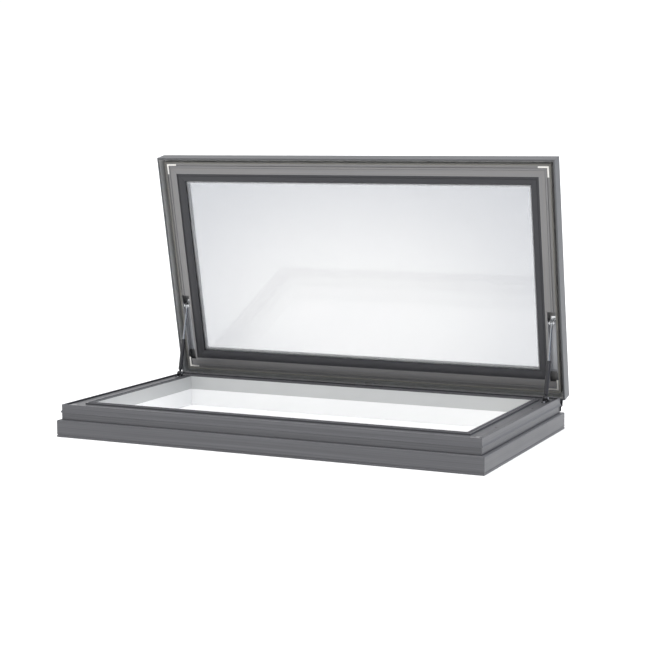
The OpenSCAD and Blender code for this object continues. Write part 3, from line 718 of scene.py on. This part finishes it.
def makeScrew(place, headRadius, length):
    # button head with a hexagon socket: rings of (radius, height, how far it is a hexagon)
    tall = screw["headHeight"]
    socket = screw["socket"]
    shank = screw["shank"]
    point = screw["point"]
    rings = [(socket, -screw["socketDepth"], 1), (socket, -0.15, 1), (socket + 0.4, 0, 0.3),
             (headRadius * 0.62, -0.12, 0), (headRadius * 0.84, -0.55, 0), (headRadius * 0.97, -1.3, 0),
             (headRadius, 0.2 - tall, 0), (headRadius - 0.15, -tall, 0),
             (shank, -tall, 0), (shank, point - length, 0), (shank - point, -length, 0)]
    bm = bmesh.new()
    bmesh.ops.create_circle(bm, cap_ends=True, segments=screw["segments"], radius=1.0)
    verts = list(bm.verts)
    edges = list(bm.edges)
    for level, (radius, height, hexShare) in enumerate(rings):
        if level:
            out = bmesh.ops.extrude_edge_only(bm, edges=edges)["geom"]
            verts = [item for item in out if isinstance(item, bmesh.types.BMVert)]
            edges = [item for item in out if isinstance(item, bmesh.types.BMEdge)
                     and set(item.verts) <= set(verts)]
        for vert in verts:
            turn = math.atan2(vert.co.y, vert.co.x)
            flat = turn % (math.pi / 3) - math.pi / 6
            reach = radius * mm * (1 + hexShare * (math.cos(math.pi / 6) / math.cos(flat) - 1))
            vert.co = (reach * math.cos(turn), reach * math.sin(turn), height * mm)
    bmesh.ops.contextual_create(bm, geom=edges)
    bm.transform(place)
    return bm


def makeScrews():
    upright = Matrix.Identity(4)
    rearward = Matrix.Rotation(-math.pi / 2, 4, "X")  # the head looks towards +Y
    for node, turn, axis in (("hinge_kerb_screws", rearward, 1), ("hinge_lid_screws", rearward, 1),
                             ("stay_kerb_screws", upright, 2)):
        shapes = []
        for low, high in solidsOf(node):
            top = (low + high) / 2
            top[axis] = high[axis]
            shapes.append(makeScrew(Matrix.Translation(top) @ turn, (high.x - low.x) / 2 / mm,
                                    (high[axis] - low[axis]) / mm))
        addShape(node[:-1] + "_set", joined(shapes), "zinc", node)


# pin sizes in mm; a cap runs between two distances from the pin's end
pins = {
    "hinge_pins": {"shank": 3.5, "cap": (1.9, 0.3)},
    "stay_kerb_pins": {"shank": 4.0, "cap": (2.0, 0.2)},
}


def pinProfile(shank, reach, capRadius, inner, outer):
    # half a pin from its domed end to the middle, mirrored: a shank between two caps
    end = [(0, reach), (shank * 0.6, reach), (shank - 0.3, reach - 0.25), (shank, reach - 0.7),
           (shank, outer), (capRadius - 0.4, outer), (capRadius, outer - 0.4),
           (capRadius, inner + 0.3), (capRadius - 0.3, inner), (shank, inner)]
    return end + [(r, -z) for r, z in reversed(end)]


def makePins():
    across = Matrix.Rotation(math.pi / 2, 4, "Y")
    for node, pin in pins.items():
        shapes = []
        for low, high in solidsOf(node):
            reach = (high.x - low.x) / 2 / mm
            capRadius = (high.z - low.z) / 2 / mm
            inner, outer = [reach - depth for depth in pin["cap"]]
            profile = pinProfile(pin["shank"], reach, capRadius, inner, outer)
            shapes.append(turned(Matrix.Translation((low + high) / 2) @ across, profile))
        addShape(node[:-1] + "_set", joined(shapes), "zinc", node)


def makeBolts():
    # stub bolts in pairs, one on each side of a stay's eye, with their heads away from it
    bolt = {"shank": 4.0, "head": 7.0, "headHeight": 4.0, "steps": 32}
    shank = bolt["shank"]
    head = bolt["head"]
    tall = bolt["headHeight"]
    eyeLine = half.x - 55 * mm  # how far from the middle both stays' eyes stand
    shapes = []
    for low, high in solidsOf("stay_lid_bolts"):
        middle = (low + high) / 2
        outward = 1 if abs(middle.x) > eyeLine else -1
        if middle.x < 0:
            outward = -outward
        top = middle.copy()
        top.x = high.x if outward > 0 else low.x
        length = (high.x - low.x) / mm
        profile = [(0, -0.1), (2.0, 0), (4.6, -0.25), (6.2, -0.9), (head - 0.2, -1.7), (head, -2.6),
                   (head, 0.2 - tall), (head - 0.2, -tall), (shank, -tall), (shank, 0.4 - length),
                   (shank - 0.4, -length), (0, -length)]
        turn = Matrix.Rotation(outward * math.pi / 2, 4, "Y")
        shapes.append(turned(Matrix.Translation(top) @ turn, profile, bolt["steps"]))
    addShape("stay_lid_bolt_set", joined(shapes), "bright", "stay_lid_bolts")


makeScrews()
makePins()
makeBolts()
print("screws, pins and bolts turned")

# stay sizes in mm; what lies along it is measured from its pivot on the kerb
stay = {
    "eye": 9.0,
    "bore": 4.05,
    "tubeEye": 14.0,       # width of the eye on the tube
    "rodEye": 12.0,        # and of the one on the rod
    "neck": 6.0,
    "foot": 18.0,
    "tube": 10.0,
    "tubeLength": 170.0,
    "crimp": 17.0,         # a groove rolled this far from the tube's end
    "inside": 8.5,
    "guide": 12.0,
    "rod": 5.0,
    "wiper": 2.2,
    "piston": 146.0,
    "pistonHeight": 8.0,
    "nut": 7.0,
    "nutStart": 9.0,       # distances back from the rod's eye
    "nutStop": 3.3,
}


def eyeShape(place, width):
    # a ring round a pivot, with its edges broken
    bore = stay["bore"]
    rim = stay["eye"]
    side = width / 2
    return turned(place, [(bore + 0.3, side), (rim - 0.6, side), (rim, side - 0.6), (rim, 0.6 - side),
                          (rim - 0.6, -side), (bore + 0.3, -side), (bore, 0.3 - side),
                          (bore, side - 0.3), (bore + 0.3, side)])


def makeTube(side, foot, along, across):
    # a closed tube with its eye, rolled in near its open end, and the wiper round the rod
    end = stay["tubeLength"]
    tube = stay["tube"]
    rod = stay["rod"]
    base = stay["foot"]
    crimp = end - stay["crimp"]
    guide = end - stay["guide"]
    outline = [(0, 5), (stay["neck"], 5), (stay["neck"], base - 1.5), (tube - 1.2, base),
               (tube, base + 1.6), (tube, crimp), (tube - 0.7, crimp + 1), (tube - 0.7, crimp + 2),
               (tube, crimp + 3), (tube, end - 2.2), (tube - 0.6, end - 0.7), (tube - 1.8, end),
               (rod + stay["wiper"], end), (rod + stay["wiper"], end - 1.4), (rod + 0.1, end - 1.4),
               (rod + 0.1, guide), (stay["inside"], guide), (stay["inside"], base + 6), (0, base + 6)]
    eye = eyeShape(Matrix.Translation(foot) @ across, stay["tubeEye"])
    body = joined([eye, turned(along, outline, 48)])
    addShape("stay_tube_" + side + "_drawn", body, "stayCoat", "stay_tube_" + side)
    inner = rod + 0.15
    outer = rod + stay["wiper"] - 0.1
    ring = [(inner, end - 1.3), (outer, end - 1.3), (outer, end - 0.4), (rod + 0.9, end - 0.1),
            (inner, end - 0.7), (inner, end - 1.3)]
    addShape("stay_wiper_" + side, turned(along, ring, 32), "wiper", "stay_tube_" + side, stands=False)


def makeRod(side, top, along, across, reach):
    # the rod with its grooved piston, a lock nut, a collar and its eye
    rod = stay["rod"]
    head = stay["piston"]
    start = head - stay["pistonHeight"]
    piston = stay["inside"] - 0.1
    groove = piston - 0.9
    tail = reach - stay["eye"]
    shaft = [(0, start), (piston - 0.4, start), (piston, start + 0.4), (piston, start + 3.2),
             (groove, start + 3.4), (groove, start + 4.6), (piston, start + 4.8), (piston, head - 0.4),
             (piston - 0.4, head), (rod, head), (rod, tail + 2), (0, tail + 2)]
    inner = rod - 0.5
    flat = stay["nut"]
    nutStart = tail - stay["nutStart"]
    nutStop = tail - stay["nutStop"]
    nut = [(inner, nutStart), (flat - 0.7, nutStart), (flat, nutStart + 0.7), (flat, nutStop - 0.7),
           (flat - 0.7, nutStop), (inner, nutStop), (inner, nutStart)]
    collar = [(inner, nutStop), (flat - 0.8, nutStop), (flat - 0.4, nutStop + 0.7),
              (flat - 0.4, tail + 2), (inner, tail + 2), (inner, nutStop)]
    eye = eyeShape(Matrix.Translation(top) @ across, stay["rodEye"])
    shapes = [turned(along, shaft, 40), turned(along, nut, 6), turned(along, collar, 32), eye]
    addShape("stay_rod_" + side + "_ground", joined(shapes), "rod", "stay_rod_" + side, sharp=32)


def makeStay(side):
    # from its pivot on the kerb to its bolts on the open lid
    turnJoint = next(j for j in frame["joints"] if j["name"] == "stay_turn_" + side)
    foot = Vector(turnJoint["pos_m"])
    bolts = [(low + high) / 2 for low, high in solidsOf("stay_lid_bolts")]
    own = [b for b in bolts if b.x * foot.x > 0]
    top = toOpen @ ((own[0] + own[1]) / 2)
    slope = math.atan2(foot.y - top.y, top.z - foot.z)
    along = Matrix.Translation(foot) @ Matrix.Rotation(slope, 4, "X")
    across = Matrix.Rotation(math.pi / 2, 4, "Y")
    makeTube(side, foot, along, across)
    makeRod(side, top, along, across, (top - foot).length / mm)


makeStay("left")
makeStay("right")
print("stays drawn and ground")

# the foam keeps its CAD mesh
for node, part in frame["nodes"].items():
    if node.startswith("insulation_"):
        part.data.materials.clear()
        part.data.materials.append(finish["foam"])
